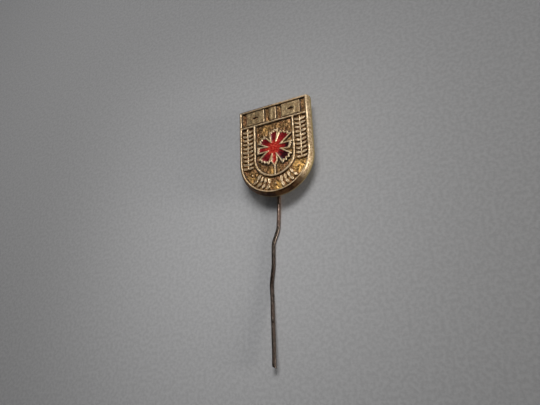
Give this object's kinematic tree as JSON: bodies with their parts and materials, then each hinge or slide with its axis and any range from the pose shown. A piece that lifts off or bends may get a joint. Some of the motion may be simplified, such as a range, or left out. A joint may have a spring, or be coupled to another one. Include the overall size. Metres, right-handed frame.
{
  "type": "enamel stick pin",
  "caption": "Shield-shaped stamped stick pin with a raised relief, a red enamelled flower and a long wire needle fixed to its back.",
  "frame": {"origin": "centre of the bounding box in X and Y, on the surface that the needle lies on", "axes": "+Z out of the badge's face, +Y towards the badge's square top edge, so the needle runs towards -Y"},
  "size_m": [0.0158, 0.0518, 0.0036],
  "materials": {
    "gilt_brass": "stamped brass, gilt and worn, with dark grime in the sunk ground",
    "red_enamel": "glossy translucent red enamel, darker in the petals",
    "plate_brass": "plain rolled brass sheet, dull and tarnished",
    "steel_wire": "hard drawn steel wire, brassy near the badge, dark and rusty towards the tip",
    "collar_brass": "turned brass, satin",
    "tin_solder": "dull grey soft solder"
  },
  "bodies": {
    "root": {"front_shell": "gilt_brass", "red_enamel": "red_enamel", "back_plate": "plate_brass", "needle": "steel_wire", "needle_collar": "collar_brass", "solder_fillet": "tin_solder"}
  },
  "joints": []
}
